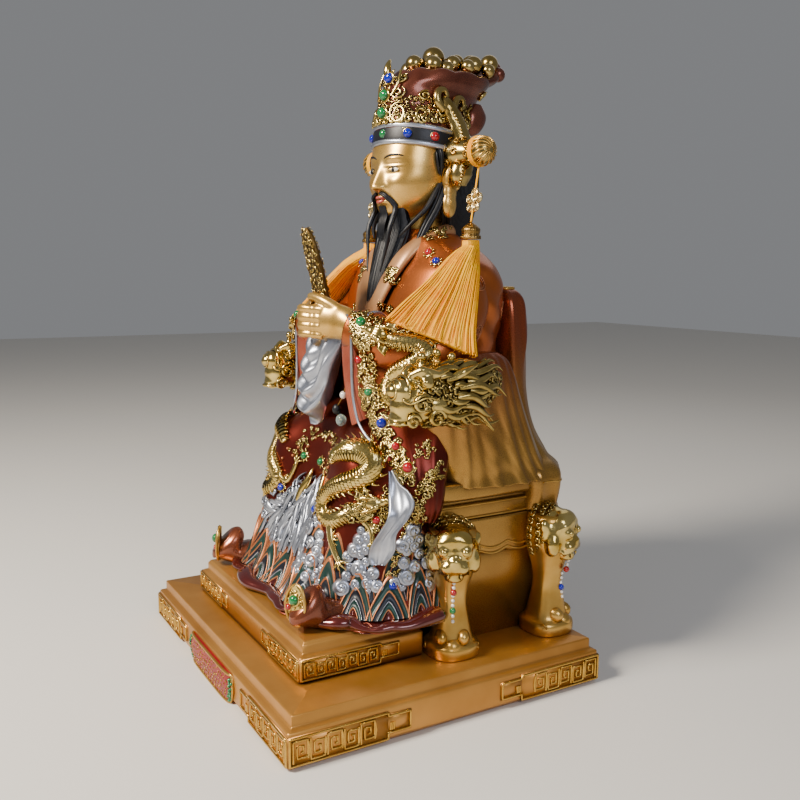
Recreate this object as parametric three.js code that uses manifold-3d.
// A painted resin statue of a deity seated on a lion-legged throne, on a two-step plinth, in millimetres.
// +Z is up, the figure faces -Y and its left side is at +X. The origin is at the centre of the underside.
import * as THREE from "three";
import { mergeVertices } from "three/addons/utils/BufferGeometryUtils.js";
import Module from "manifold-3d";

// Plinth: a wide slab and a narrower step for the feet
const slabHalfWidth = 120;
const slabHalfDepth = 106;
const slabEdgeTop = 21;
const slabTop = 28.5;
const slabLedge = 3.9;
const stepHalfWidth = 86;
const stepFront = -84;
const stepBack = -3;
const stepBandTop = 43.4;
const stepTop = 51;
const stepLedge = 4.6;

// Throne
const seatTop = 130;
const seatHalfWidth = 84;
const wallHalfWidth = 79;
const throneFront = 9;
const throneBack = 100;
const legX = 90;
const frontLegY = 14;
const rearLegY = 88;
const armX = 93;

// Figure and what it wears and holds
const headTurn = THREE.MathUtils.degToRad(10);
const headAxisY = 40;
const crownTilt = THREE.MathUtils.degToRad(8);
const crownBottom = 333.6;
const rollY = 49;
const rollHeight = 331;
const rollRadius = 8;
const rollInner = 27;
const rollOuter = 56;
const cordHangX = 50;
const cordRadius = 0.6;
const cordForward = 6;
const charmRadius = 7;
const charmDepth = 3.8;
const capTop = 287;
const capHeight = 10;
const gap = 0.4;

const wasm = await Module();
wasm.setup();

const signedPower = (v, e) => Math.sign(v) * Math.abs(v) ** e;
const bump = (v, centre, width) => Math.exp(-(((v - centre) / width) ** 2));

// A row of numbers read smoothly along a list of key rows; s runs from 0 to 1.
function along(keys, s) {
  const last = keys.length - 1;
  const at = Math.min(Math.max(s, 0) * last, last - 1e-9);
  const i = Math.floor(at);
  const t = at - i;
  const key = (j) => keys[Math.max(0, Math.min(last, j))];
  return keys[0].map((_, c) => {
    const [a, b, d, e] = [key(i - 1)[c], key(i)[c], key(i + 1)[c], key(i + 2)[c]];
    return b + 0.5 * t * (d - a + t * (2 * a - 5 * b + 4 * d - e + t * (3 * (b - d) + e - a)));
  });
}

// A closed surface through rings of equal length, with a fan over each end, faces pointing out.
function skin(rings) {
  const n = rings[0].length;
  const points = rings.flat();
  const faces = [];
  for (let r = 0; r < rings.length - 1; r++) {
    for (let i = 0; i < n; i++) {
      const [a, b] = [r * n + i, r * n + ((i + 1) % n)];
      faces.push([a, b, b + n], [a, b + n, a + n]);
    }
  }
  for (const end of [0, rings.length - 1]) {
    const centre = rings[end].reduce((sum, p) => sum.add(p), new THREE.Vector3()).divideScalar(n);
    points.push(centre);
    for (let i = 0; i < n; i++) {
      const [a, b] = [end * n + i, end * n + ((i + 1) % n)];
      faces.push(end ? [a, b, points.length - 1] : [b, a, points.length - 1]);
    }
  }
  const volume = faces.reduce((sum, [a, b, c]) => sum + points[a].dot(points[b].clone().cross(points[c])), 0);
  const ordered = volume > 0 ? faces.flat() : faces.map(([a, b, c]) => [a, c, b]).flat();
  return new THREE.BufferGeometry().setFromPoints(points).setIndex(ordered);
}

// A form built of level ovals. Keys hold [height, half width, front, back]; carve may move each point.
function levels(keys, { sides = 20, rings = 8, power = 2, grow = 0, x = 0, carve } = {}) {
  const made = [];
  for (let r = 0; r <= rings; r++) {
    const [z, w, front, back] = along(keys, r / rings);
    const lift = r === 0 ? -grow : r === rings ? grow : 0;
    made.push(
      Array.from({ length: sides }, (_, i) => {
        const turn = (2 * Math.PI * i) / sides;
        const p = new THREE.Vector3(
          x + (w + grow) * signedPower(Math.cos(turn), 2 / power),
          (front + back) / 2 + ((back - front) / 2 + grow) * signedPower(Math.sin(turn), 2 / power),
          z + lift,
        );
        if (carve) carve(p, turn, r / rings);
        return p;
      }),
    );
  }
  return skin(made);
}

// A form swept along a path. Keys hold [x, y, z, half width, half height], the height towards up.
function sweep(keys, { sides = 10, rings = 8, up = [0, 0, 1], grow = 0, power = 2, carve } = {}) {
  const upward = new THREE.Vector3(...up);
  const made = [];
  for (let r = 0; r <= rings; r++) {
    const s = r / rings;
    const [x, y, z, w, h] = along(keys, s);
    const ahead = new THREE.Vector3(...along(keys, Math.min(1, s + 0.02)).slice(0, 3));
    const behind = new THREE.Vector3(...along(keys, Math.max(0, s - 0.02)).slice(0, 3));
    const forward = ahead.sub(behind).normalize();
    const side = forward.clone().cross(upward).normalize();
    const top = side.clone().cross(forward);
    const shift = r === 0 ? -grow : r === rings ? grow : 0;
    made.push(
      Array.from({ length: sides }, (_, i) => {
        const turn = (2 * Math.PI * i) / sides;
        const p = new THREE.Vector3(x, y, z)
          .addScaledVector(side, (w + grow) * signedPower(Math.cos(turn), 2 / power))
          .addScaledVector(top, (h + grow) * signedPower(Math.sin(turn), 2 / power))
          .addScaledVector(forward, shift);
        if (carve) carve(p, turn, s);
        return p;
      }),
    );
  }
  return skin(made);
}

function ball(x, y, z, rx, ry = rx, rz = rx, { grow = 0, sides = 8, rings = 5 } = {}) {
  return new THREE.SphereGeometry(1, sides, rings).scale(rx + grow, ry + grow, rz + grow).translate(x, y, z);
}

function box(x0, x1, y0, y1, z0, z1, grow = 0) {
  return new THREE.BoxGeometry(x1 - x0 + 2 * grow, y1 - y0 + 2 * grow, z1 - z0 + 2 * grow).translate(
    (x0 + x1) / 2,
    (y0 + y1) / 2,
    (z0 + z1) / 2,
  );
}

function toSolid(geometry) {
  const loose = geometry.index ? geometry.toNonIndexed() : geometry;
  const bare = new THREE.BufferGeometry().setAttribute("position", loose.getAttribute("position"));
  const merged = mergeVertices(bare, 1e-4);
  const vertProperties = new Float32Array(merged.attributes.position.array);
  const triVerts = new Uint32Array(merged.index.array);
  return new wasm.Manifold(new wasm.Mesh({ numProp: 3, vertProperties, triVerts }));
}

const join = (geometries) => geometries.map(toSolid).reduce((all, next) => all.add(next));

function toGeometry(solid) {
  const { vertProperties, triVerts, numProp, numVert } = solid.getMesh();
  const position = new Float32Array(numVert * 3);
  for (let i = 0; i < numVert; i++) {
    position.set(vertProperties.subarray(i * numProp, i * numProp + 3), i * 3);
  }
  return new THREE.BufferGeometry()
    .setAttribute("position", new THREE.BufferAttribute(position, 3))
    .setIndex(new THREE.BufferAttribute(triVerts, 1));
}

// The head, crown and tassel hooks are modelled facing -Y and then turned about the neck.
const turnHead = new THREE.Matrix4()
  .makeTranslation(0, headAxisY, 0)
  .multiply(new THREE.Matrix4().makeRotationZ(headTurn))
  .multiply(new THREE.Matrix4().makeTranslation(0, -headAxisY, 0));
const turned = (geometries) => geometries.map((g) => g.applyMatrix4(turnHead));
const leanCrown = new THREE.Matrix4()
  .makeTranslation(0, headAxisY, crownBottom)
  .multiply(new THREE.Matrix4().makeRotationX(-crownTilt))
  .multiply(new THREE.Matrix4().makeTranslation(0, -headAxisY, -crownBottom));
const leaned = (geometries) => turned(geometries.map((g) => g.applyMatrix4(leanCrown)));

// PLINTH

// A raised panel at a corner, from a to b along one face, with a shorter tongue at its inner end.
function cornerPanel(a, b, low, high, place) {
  const neck = a + 0.8 * (b - a);
  return [place(a, neck, low, high), place(neck, b, low + 0.35 * (high - low), high - 0.15 * (high - low))];
}

function makePlinth() {
  const w = slabHalfWidth;
  const d = slabHalfDepth;
  const relief = 1.2;
  const slab = (z, inset) => [z, w - inset, -d + inset, d - inset];
  const step = (z, inset) => [z, stepHalfWidth - inset, stepFront + inset, stepBack];
  const square = (keys) => {
    const outline = (half, front, back) => [[-half, front], [half, front], [half, back], [-half, back]];
    const ring = ([z, ...sizes]) => outline(...sizes).map(([x, y]) => new THREE.Vector3(x, y, z));
    return skin(keys.map(ring));
  };
  // Panels overlap their neighbours by a hair, so that they join into one body.
  const lap = 0.1;
  const front = (y) => (a, b, z0, z1) =>
    box(Math.min(a, b) - lap, Math.max(a, b) + lap, y - relief, y + 1, z0, z1);
  const flank = (x) => (a, b, z0, z1) => {
    const [inner, outer] = [x - Math.sign(x), x + relief * Math.sign(x)];
    return box(Math.min(inner, outer), Math.max(inner, outer), Math.min(a, b) - lap, Math.max(a, b) + lap, z0, z1);
  };
  const cartouche = levels(
    [
      [0, 36, -d - 3, -d + 6],
      [10, 41, -d - 4, -d + 6],
      [19, 38, -d - 3, -d + 6],
    ],
    { sides: 12, rings: 2, power: 5 },
  );
  const bars = [];
  for (const side of [-1, 1]) {
    bars.push(...cornerPanel(side * w, side * 52, 2, 19, front(-d)));
    const stepCorner = side * (stepHalfWidth - 0.5);
    bars.push(...cornerPanel(stepCorner, side * 30, slabTop + 1, stepBandTop, front(stepFront)));
    bars.push(...cornerPanel(-d, -32, 2, 19, flank(side * w)));
    bars.push(...cornerPanel(d, 30, 2, 19, flank(side * w)));
    bars.push(...cornerPanel(stepFront, -20, slabTop + 1, stepBandTop, flank(side * stepHalfWidth)));
  }
  const mass = [
    square([
      slab(0, 2.5),
      slab(3, 0),
      slab(slabEdgeTop, 0),
      slab(slabEdgeTop + 1, slabLedge),
      slab(slabTop, slabLedge),
    ]),
    square([
      step(slabTop - 1, 0),
      step(stepBandTop, 0),
      step(stepBandTop + 1, stepLedge - 1.2),
      step(stepTop - 2, stepLedge - 1.2),
      step(stepTop - 1.5, stepLedge),
      step(stepTop, stepLedge),
    ]),
  ];
  return join([...mass, cartouche, ...bars]);
}

// THRONE

// A lion-masked leg: a paw, a slim shank and the mask with its mane, turned to the throne's corner.
function leg(side, y, facing, grow) {
  const x = side * legX;
  const floor = slabTop + gap;
  const shank = sweep(
    [
      [x, y, floor, 15, 15],
      [x, y, 36, 15.5, 15.5],
      [x, y, 46, 11, 11],
      [x, y, 60, 8.5, 8.5],
      [x, y, 74, 10, 10],
      [x, y, 88, 14, 14],
      [x, y, 106, 13, 13],
    ],
    { up: [0, 1, 0], sides: 7, rings: 5, grow },
  );
  const [fx, fy] = [side * Math.cos(facing), Math.sin(facing)];
  const face = [
    ball(x + 4 * fx, y + 4 * fy, 92, 16, 17, 17, { grow, sides: 6, rings: 4 }),
    ball(x + 15 * fx, y + 15 * fy, 88, 8, 8, 8, { grow, sides: 5, rings: 3 }),
    ball(x + 13 * fx - 7 * fy, y + 13 * fy + 7 * fx, 99, 5, 5, 4, { grow, sides: 5, rings: 3 }),
    ball(x + 13 * fx + 7 * fy, y + 13 * fy - 7 * fx, 99, 5, 5, 4, { grow, sides: 5, rings: 3 }),
    ball(x - 3 * fx, y + (y > 50 ? -4 : 17), 93, 9, 12, 10, { grow, sides: 5, rings: 3 }),
  ];
  return [shank, ...face];
}

// A dragon's head and maned neck, carved on the end of each armrest.
function armDragon(side, grow) {
  const x = side * armX;
  const neck = sweep(
    [
      [x, 41, 194, 4, 5],
      [x, 30, 192, 10, 12],
      [x, 14, 188, 11, 15],
      [x, -2, 186, 11.5, 15.5],
      [x, -15, 184, 10.5, 14],
      [x, -24, 180, 9, 11],
      [x, -29, 178, 4, 5],
    ],
    { sides: 7, rings: 5, grow },
  );
  const knobs = [
    [-24, 191, 8, 6, 6],
    [-26, 173, 7, 6, 5],
    [4, 202, 5, 22, 5],
    [4, 171, 8, 10, 5],
  ].map(([y, z, rx, ry, rz]) => ball(x, y, z, rx, ry, rz, { grow, sides: 5, rings: 3 }));
  return [neck, ...knobs];
}

function throneParts(grow = 0) {
  const w = seatHalfWidth;
  const lobes = (p) => {
    if (p.z < 92 && Math.abs(p.y - 50) < 30) p.z -= 3 * Math.abs(Math.cos((p.y - 50) / 7));
  };
  // Cloth hangs in folds from the rounded top of the back and spreads at the seat.
  const folds = (p, turn, s) => {
    const depth = 1.6 * bump(s, 0.45, 0.3);
    p.x += depth * Math.cos(9 * turn) * Math.sign(p.x);
    p.y += depth * Math.sin(11 * turn);
  };
  const back = levels(
    [
      [105, 86, 70, 106],
      [130, 89, 70, 109],
      [141, 74, 71, 107],
      [156, 62, 74, 103],
      [180, 57, 75, 99],
      [210, 56, 75, 99],
      [234, 55, 75, 98],
      [243, 51, 77, 95],
      [247, 43, 81, 91],
    ],
    { sides: 14, rings: 6, power: 4, grow, carve: folds },
  );
  const parts = [
    box(-wallHalfWidth, wallHalfWidth, throneFront + 6, throneBack - 4, slabTop + gap + grow, seatTop - 10, grow),
    box(-w + 3, w - 3, throneFront + 2, throneBack, 106, 117, grow),
    box(-w, w, throneFront, throneBack, 119, seatTop, grow),
    box(-w + 4, w - 4, throneFront + 3, throneBack, 116, 120, grow),
    back,
  ];
  for (const side of [-1, 1]) {
    const apron = levels([[85, 2.2, 28, 76], [95, 2.6, 24, 80], [106, 2.6, 24, 80]], {
      x: side * (wallHalfWidth + 1),
      sides: 10,
      rings: 2,
      power: 6,
      grow,
      carve: lobes,
    });
    const armCloth = levels(
      [
        [128, 17, 20, 96],
        [145, 16, 12, 88],
        [165, 15, 4, 82],
        [180, 15, 0, 80],
        [195, 15, 10, 80],
        [205, 12, 30, 76],
        [209, 7, 42, 70],
      ],
      {
        x: side * 73,
        sides: 10,
        rings: 5,
        power: 2.3,
        grow,
        carve: (p) => (p.x += side * 1.5 * Math.cos(p.y / 4) * bump(p.z, 150, 25)),
      },
    );
    parts.push(apron, armCloth, ...armDragon(side, grow));
    parts.push(...leg(side, frontLegY, -0.5, grow), ...leg(side, rearLegY, 0.5, grow));
  }
  return parts;
}

// FIGURE

// The robe over the knees: ovals with two knees, a valley between them and folds that deepen to the hem.
function skirt() {
  const carve = (p, turn, s) => {
    const front = Math.max(0, -Math.sin(turn));
    const knees = bump(p.x, 50, 24) + bump(p.x, -50, 24);
    p.y -= front * 15 * knees * bump(s, 0.72, 0.33);
    p.y += front * 7 * bump(p.x, 0, 22) * bump(s, 0.45, 0.35);
    const fold = 3.2 * (1 - s) * front;
    p.x += fold * Math.cos(15 * turn) * Math.cos(turn);
    p.y += fold * Math.cos(15 * turn) * Math.sin(turn);
  };
  return levels(
    [
      [stepTop + gap, 98, -74, 50],
      [57, 91, -68, 50],
      [74, 84, -59, 50],
      [100, 80, -48, 50],
      [126, 80, -37, 50],
      [146, 78, -30, 55],
      [160, 68, -18, 60],
      [170, 56, -2, 66],
    ],
    { sides: 24, rings: 5, power: 2.4, carve },
  );
}

function torso() {
  return levels(
    [
      [150, 60, -6, 70],
      [180, 58, 0, 76],
      [215, 65, 4, 80],
      [240, 68, 10, 82],
      [256, 64, 16, 80],
      [267, 52, 22, 74],
      [284, 20, 26, 62],
    ],
    { sides: 11, rings: 5, power: 2.8 },
  );
}

// One arm: shoulder to wrist, with the wide sleeve that hangs from the forearm and spills over the knee.
function arm(side) {
  const limb = sweep(
    [
      [side * 38, 46, 250, 17, 16],
      [side * 52, 42, 240, 19, 18],
      [side * 60, 28, 221, 19, 18],
      [side * 62, 12, 206, 17, 17],
      [side * 52, -4, 211, 15, 16],
      [side * 40, -15, 218, 13, 14],
      [side * 29, -23, 222, 10, 12],
    ],
    { sides: 7, rings: 5 },
  );
  // The hanging sleeve, from the cuff down: its front edge is the open mouth of the sleeve.
  const bag = sweep(
    [
      [side * 46, 0, 230, 8, 24],
      [side * 49, 5, 203, 10, 32],
      [side * 58, 9, 176, 11, 34],
      [side * 68, 9, 155, 11, 30],
      [side * 77, 11, 138, 10, 26],
      [side * 83, 13, 120, 7, 20],
      [side * 84, 14, 110, 3, 14],
    ],
    { up: [side * -0.38, -0.93, 0], sides: 9, rings: 5 },
  );
  // The pale lining turns out of the sleeve's lower corner and falls over the knee.
  const lining = sweep(
    [
      [side * 56, -16, 158, 3, 2],
      [side * 70, -13, 140, 8, 3],
      [side * 82, -13, 124, 12, 4],
      [side * 82, -22, 108, 10, 3],
      [side * 76, -28, 92, 3, 2],
    ],
    { up: [side * 0.6, -0.8, 0], sides: 5, rings: 4 },
  );
  // The inner sleeve hangs in a soft loop below the wrist.
  const inner = sweep(
    [
      [side * 24, -19, 218, 8, 7],
      [side * 15, -24, 198, 6, 10],
      [side * 8, -26, 180, 5, 11],
      [side * 6, -27, 166, 4, 8],
      [side * 5, -28, 159, 2, 3],
    ],
    { up: [side * 0.5, -0.85, 0], sides: 5, rings: 3 },
  );
  const fist = sweep(
    [
      [side * 31, -21, 222, 8, 9],
      [side * 22, -26, 223, 8, 10],
      [side * 12, -30, 224, 8, 12],
      [side * 4, -34, 223, 9, 12],
      [side * -3, -34, 222, 5, 8],
    ],
    { sides: 6, rings: 3 },
  );
  return [limb, bag, lining, inner, fist];
}

function collar() {
  return [-1, 1].map((side) =>
    sweep(
      [
        [side * 20, 56, 283, 4, 5],
        [side * 23, 40, 279, 5, 5],
        [side * 20, 22, 268, 6, 5],
        [side * 12, 11, 250, 7, 4],
        [side * 4, 4, 228, 7, 4],
        [side * -4, 0, 205, 6, 3],
      ],
      { up: [0, -1, 0.3], sides: 4, rings: 4 },
    ),
  );
}

// A cloud-toed boot, turned outward, with a tall plate on its toe.
function boot(side) {
  return [
    sweep(
      [
        [side * 56, -36, 60, 13, 9],
        [side * 61, -52, 59, 12, 8],
        [side * 65, -64, 59, 10, 8],
        [side * 67, -71, 66, 9, 14],
        [side * 67.5, -74, 69, 6, 11],
      ],
      { sides: 6, rings: 3 },
    ),
  ];
}

// How far forward the lap reaches at a point, from the solid that carries the relief.
const lap = new THREE.Mesh(skirt(), new THREE.MeshBasicMaterial({ side: THREE.DoubleSide }));
function lapFront(x, z) {
  const inward = new THREE.Raycaster(new THREE.Vector3(x, -200, z), new THREE.Vector3(0, 1, 0));
  return inward.intersectObject(lap)[0].point.y;
}

// A raised dragon, coiled in an S over each knee, its head turned to the lap.
function kneeDragon(side) {
  const coil = [
    [62, 150],
    [44, 155],
    [33, 146],
    [46, 135],
    [64, 126],
    [60, 112],
    [42, 106],
    [30, 114],
  ].map(([x, z], i) => [side * x, lapFront(side * x, z) - 1.5, z, 4.6 - 0.25 * i, 5 - 0.3 * i]);
  return [
    sweep(coil, { up: [0, -1, 0], sides: 4, rings: 10 }),
    ball(side * 58, lapFront(side * 58, 155) - 2, 155, 8, 5, 6, { sides: 5, rings: 3 }),
  ];
}

function headParts() {
  const skull = levels(
    [
      [290, 7, 20, 38],
      [294, 14, 15, 48],
      [302, 21, 12, 58],
      [312, 25.5, 10, 68],
      [322, 26.5, 10, 71],
      [331, 26.5, 11, 71],
      [crownBottom + 6, 26, 13, 70],
    ],
    { sides: 10, rings: 5, power: 2.2 },
  );
  const hair = levels(
    [
      [264, 17, 52, 74],
      [285, 22, 48, 76],
      [308, 26, 44, 79],
      [crownBottom - 9, 26, 44, 79],
    ],
    { sides: 8, rings: 3, power: 2.4 },
  );
  const beard = sweep(
    [
      [0, 20, 297, 12, 5],
      [0, 22, 284, 14, 6],
      [0, 17, 268, 11, 6],
      [0, 11, 252, 8, 5],
      [0, 7, 240, 4.5, 3],
      [0, 6.5, 229, 1, 1],
    ],
    { up: [0, -1, 0], sides: 6, rings: 5 },
  );
  const neck = levels([[268, 18, 26, 66], [304, 16, 24, 60]], { sides: 6, rings: 1 });
  const parts = [skull, neck, hair, beard];
  parts.push(sweep([[0, 11, 325, 2.5, 2], [0, 8.5, 317, 3, 3], [0, 6, 310, 5, 4], [0, 10, 306, 3, 2]], {
    up: [0, -1, 0],
    sides: 4,
    rings: 3,
  }));
  for (const side of [-1, 1]) {
    parts.push(
      sweep(
        [
          [side * 24, 38, 312, 3, 4],
          [side * 24, 34, 292, 4, 5],
          [side * 20, 24, 270, 4, 4],
          [side * 16, 13, 247, 1.5, 1.5],
        ],
        { up: [0, -1, 0], sides: 4, rings: 3 },
      ),
      ball(side * 28, 47, 313, 3.5, 7, 17, { sides: 5, rings: 4 }),
    );
  }
  return turned(parts);
}

// CROWN

function circlet(grow = 0) {
  return levels(
    [
      [crownBottom, 28.5, 12.5, 73],
      [crownBottom + 2, 30, 11, 74.5],
      [crownBottom + 9.5, 30, 11, 74.5],
      [crownBottom + 11.5, 28.5, 12.5, 73],
    ],
    { sides: 14, rings: 3, grow },
  );
}

// A leaf-edged plate beside each ear and the roll that carries the tassel, both turned with the head.
function sideWings(grow = 0) {
  const plates = [-1, 1].map((side) =>
    sweep(
      [
        [side * 21, 42, 372, 3, 3],
        [side * 25, 38, 366, 4, 5],
        [side * 28, 44, 356, 4, 6],
        [side * 30, 50.5, 345, 5, 7],
        [side * 33, 51, 332, 5, 8],
        [side * 34, 50, 322, 3, 6],
      ],
      { up: [0, -1, 0], sides: 4, rings: 5, grow },
    ),
  );
  const rolls = [-1, 1].map((side) =>
    sweep(
      [
        [side * rollInner, rollY, rollHeight, rollRadius + 3, rollRadius + 3],
        [side * (rollInner + 8), rollY, rollHeight, rollRadius + 2, rollRadius + 2],
        [side * (cordHangX - 4), rollY, rollHeight, rollRadius, rollRadius],
        [side * (cordHangX + 4), rollY, rollHeight, rollRadius, rollRadius],
        [side * rollOuter, rollY, rollHeight, rollRadius - 1, rollRadius - 1],
        [side * (rollOuter + 4), rollY, rollHeight, 2, 2],
      ],
      { sides: 7, rings: 5, grow },
    ),
  );
  return turned([...plates, ...rolls]);
}

function makeCrown() {
  const cap = levels(
    [
      [340, 27.5, 13, 72],
      [355, 26, 12.5, 82],
      [366, 23, 14.5, 87],
      [376, 22, 17, 90],
      [383, 25, 22, 95],
      [389, 24, 28, 97],
      [394, 16, 39, 90],
    ],
    { sides: 10, rings: 4, power: 2.2 },
  );
  const flare = sweep(
    [
      [0, 82, 381, 18, 3],
      [0, 95, 385, 19, 5],
      [0, 102, 390, 15, 6],
      [0, 108, 393, 6, 4],
    ],
    { sides: 8, rings: 3 },
  );
  const beads = [ball(0, 55, 395.5, 6.5, 6.5, 6.5, { sides: 6, rings: 4 })];
  for (const [x, y, z, r] of [
    [0, 38, 389.5, 5],
    [12, 44, 388, 5],
    [11, 62, 391, 5],
    [14, 78, 392, 5.5],
    [0, 89, 396.5, 5.5],
    [11, 96, 396, 5.5],
  ]) {
    for (const side of x ? [-1, 1] : [1]) beads.push(ball(side * x, y, z, r, r, r, { sides: 5, rings: 3 }));
  }
  return join([...leaned([circlet()]), ...turned([cap, flare, ...beads]), ...sideWings()]);
}

// TABLET, held upright between the hands and leaning forward

function tablet(grow = 0) {
  return sweep(
    [
      [0, -22.5, 204, 6.5, 2],
      [0, -25, 222, 7.5, 2],
      [0, -29, 244, 8.5, 2],
      [0, -34, 264, 8.5, 2],
      [0, -38, 278, 6, 1.8],
      [0, -39.5, 283, 2, 1.2],
    ],
    { up: [0, -1, 0], sides: 8, rings: 5, power: 4, grow },
  );
}

// TASSELS

// Each cord hangs straight from under its roll to the cap, a little forward, through the charm's bore.
function cordEnds(side) {
  const top = new THREE.Vector3(side * cordHangX, rollY, rollHeight - rollRadius - gap);
  const bottom = new THREE.Vector3(side * cordHangX, rollY - cordForward, capTop + gap);
  return [top.applyMatrix4(turnHead), bottom.applyMatrix4(turnHead)];
}

function cord(side) {
  const section = new THREE.Shape().absarc(0, 0, cordRadius, 0, 2 * Math.PI);
  const extrudePath = new THREE.LineCurve3(...cordEnds(side));
  const settings = { steps: 6, curveSegments: 4, bevelEnabled: false, extrudePath };
  return toSolid(new THREE.ExtrudeGeometry(section, settings));
}

// A small cast flower with five petals, threaded on the cord.
function charm(side) {
  const [top, bottom] = cordEnds(side);
  const outline = Array.from({ length: 20 }, (_, i) => {
    const turn = (2 * Math.PI * i) / 20;
    const radius = charmRadius * (0.72 + 0.28 * Math.abs(Math.cos(2.5 * turn)));
    return new THREE.Vector2(radius * Math.sin(turn), radius * Math.cos(turn));
  });
  const settings = { depth: charmDepth, bevelEnabled: false };
  const flower = new THREE.ExtrudeGeometry(new THREE.Shape(outline), settings);
  flower.translate(0, 0, -charmDepth / 2).rotateX(Math.PI / 2);
  const boreRadius = cordRadius + gap;
  const bore = new THREE.CylinderGeometry(boreRadius, boreRadius, 3 * charmRadius, 8).rotateX(Math.PI / 2);
  const upwards = top.clone().sub(bottom).normalize();
  const lean = new THREE.Quaternion().setFromUnitVectors(new THREE.Vector3(0, 0, 1), upwards);
  const centre = top.clone().lerp(bottom, 0.62);
  const place = (g) => g.applyQuaternion(lean).translate(centre.x, centre.y, centre.z);
  return toSolid(place(flower)).subtract(toSolid(place(bore)));
}

function tasselCap(side) {
  const [, { x, y }] = cordEnds(side);
  const turnedCap = [
    [capTop - capHeight, 6.5],
    [capTop - 7, 5.5],
    [capTop - 4, 6],
    [capTop, 1.6],
  ].map(([z, r]) => [z, r, y - r, y + r]);
  return toSolid(levels(turnedCap, { x, sides: 8, rings: 3 }));
}

// The silk spreads from the cap over the upper arm, forward and outward, and ends in a level cut.
function fringe(side, grow = 0) {
  const [, { x, y }] = cordEnds(side);
  const top = capTop - capHeight - 2 * gap;
  return sweep(
    [
      [x, y, top, 5, 5],
      [x + side * 1, y - 1, top - 7, 6, 5],
      [side * 61, 0.7 * y + 1.5, 260, 11, 4.5],
      [side * 70, 0.38 * y + 3, 242, 18, 4],
      [side * 75, 0.13 * y + 4, 227, 25, 3.5],
      [side * 77, 5, 218, 30, 3],
    ],
    { up: [side * 0.8, -0.25, 0.55], sides: 8, rings: 5, grow },
  );
}

// GEMS

const ruby = 0xb01020;
const sapphire = 0x1626b0;
const emerald = 0x1f7a45;

// Where a line from outside first meets the solid, sunk a little.
function seat(solid, from, towards, radius) {
  const target = new THREE.Mesh(toGeometry(solid), new THREE.MeshBasicMaterial({ side: THREE.DoubleSide }));
  const direction = towards.clone().sub(from).normalize();
  const [hit] = new THREE.Raycaster(from, direction).intersectObject(target);
  return hit.point.addScaledVector(direction, radius * 0.1);
}

const bead = (p, r) => new THREE.IcosahedronGeometry(r, 0).translate(p.x, p.y, p.z);

function setGems(solid, rows, prefix) {
  let seated = solid;
  const gems = rows.map(([from, towards, radius, colour], i) => {
    const centre = seat(solid, new THREE.Vector3(...from), new THREE.Vector3(...towards), radius);
    seated = seated.subtract(toSolid(bead(centre, radius + gap)));
    return { name: `${prefix}_${i + 1}`, geometry: bead(centre, radius), colour };
  });
  return { seated, gems };
}

const circletColours = [ruby, sapphire, emerald, sapphire, ruby];

function circletGems() {
  return [-72, -37, 0, 37, 72].map((degrees, i) => {
    const turn = THREE.MathUtils.degToRad(degrees);
    const at = (r, z) => new THREE.Vector3(r * Math.sin(turn), headAxisY - r * Math.cos(turn), z);
    const place = (v) => v.applyMatrix4(leanCrown).applyMatrix4(turnHead).toArray();
    return [place(at(90, crownBottom + 5.8)), place(at(0, crownBottom + 5.8)), 3, circletColours[i]];
  });
}

function capGems() {
  return [[356, 3.4, emerald], [367, 3.4, emerald], [378, 3.2, sapphire]].map(([z, radius, colour]) => {
    const place = (y) => new THREE.Vector3(0, y, z).applyMatrix4(turnHead).toArray();
    return [place(-60), place(40), radius, colour];
  });
}

// Three gems down the band of each sleeve and one on each boot's toe plate.
function robeGems() {
  return [-1, 1].flatMap((side) => {
    const onSleeve = (x, y, z, colour) => [[side * (x + 60), y - 60, z], [side * x, y, z], 3.2, colour];
    return [
      onSleeve(45, -23, 226, emerald),
      onSleeve(59, -16, 167, sapphire),
      onSleeve(77, -7, 143, ruby),
      [[side * 67, -140, 72], [side * 67, -40, 72], 3.6, emerald],
    ];
  });
}

// ASSEMBLY

const throneSolid = join(throneParts());
const throneRoom = join(throneParts(gap));

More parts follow.
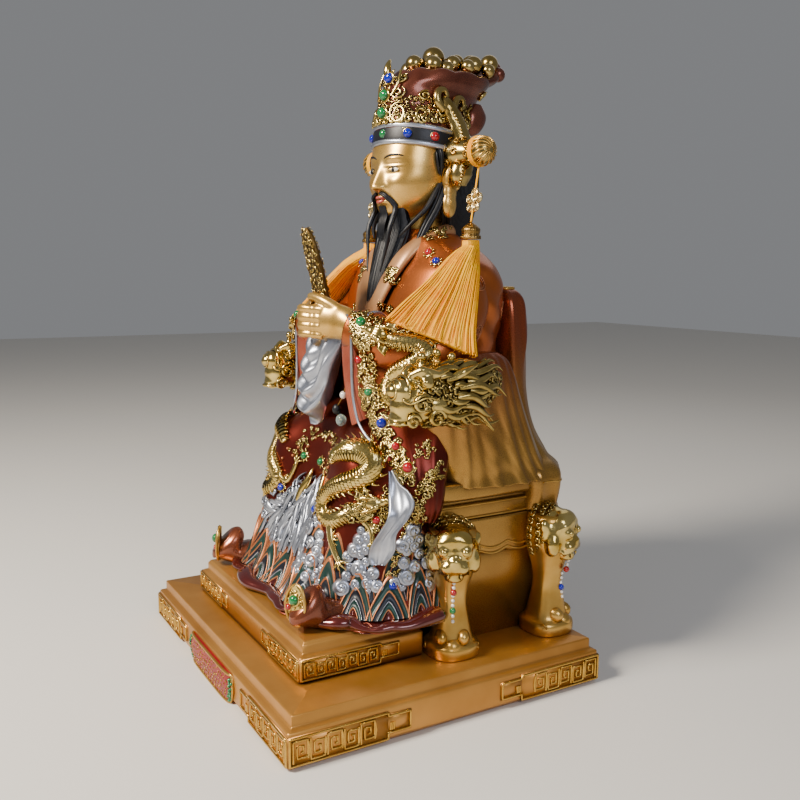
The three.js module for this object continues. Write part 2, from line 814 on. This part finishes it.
const bodyParts = [skirt(), torso(), ...collar(), ...headParts()];
for (const side of [-1, 1]) {
  bodyParts.push(...arm(side), ...boot(side), ...kneeDragon(side));
}
const floorRoom = toSolid(box(-200, 200, -200, 200, 0, stepTop + gap));
const crownRoom = join([...leaned([circlet(gap)]), ...sideWings(gap)]);
const bareFigure = join(bodyParts)
  .subtract(throneRoom)
  .subtract(floorRoom)
  .subtract(crownRoom)
  .subtract(toSolid(tablet(gap)))
  .subtract(toSolid(fringe(1, gap)))
  .subtract(toSolid(fringe(-1, gap)));
// Cutting room for the throne can free a sliver of cloth, so only the body itself is kept.
const largest = (solid) => solid.decompose().reduce((a, b) => (a.volume() > b.volume() ? a : b));
const bareCrown = makeCrown();
const figure = setGems(largest(bareFigure), robeGems(), "robe_gem");
const crown = setGems(bareCrown, [...circletGems(), ...capGems()], "crown_gem");

const finishes = {
  gold: { color: 0xb98b3c, roughness: 0.38, metalness: 0.8 },
  robe: { color: 0x9c3b1f, roughness: 0.35, metalness: 0.5 },
  cap: { color: 0x6e2a1d, roughness: 0.35, metalness: 0.5 },
  tablet: { color: 0xc9b25a, roughness: 0.35, metalness: 0.8 },
  silk: { color: 0xe8a93a, roughness: 0.6, metalness: 0 },
  brass: { color: 0xc7a851, roughness: 0.3, metalness: 1 },
};

const statue = new THREE.Group();
function add(name, geometry, finish) {
  const mesh = new THREE.Mesh(geometry, new THREE.MeshStandardMaterial(finish));
  mesh.name = name;
  statue.add(mesh);
}

add("plinth", toGeometry(makePlinth()), finishes.gold);
add("throne", toGeometry(throneSolid), finishes.gold);
add("figure", toGeometry(figure.seated), finishes.robe);
add("crown", toGeometry(crown.seated), finishes.cap);
add("tablet", tablet(), finishes.tablet);
for (const [side, word] of [[1, "left"], [-1, "right"]]) {
  add(`tassel_cord_${word}`, toGeometry(cord(side)), finishes.silk);
  add(`tassel_charm_${word}`, toGeometry(charm(side)), finishes.brass);
  add(`tassel_cap_${word}`, toGeometry(tasselCap(side)), finishes.brass);
  add(`tassel_fringe_${word}`, fringe(side), finishes.silk);
}
for (const { name, geometry, colour } of [...crown.gems, ...figure.gems]) {
  add(name, geometry, { color: colour, roughness: 0.1, metalness: 0 });
}

export default statue;
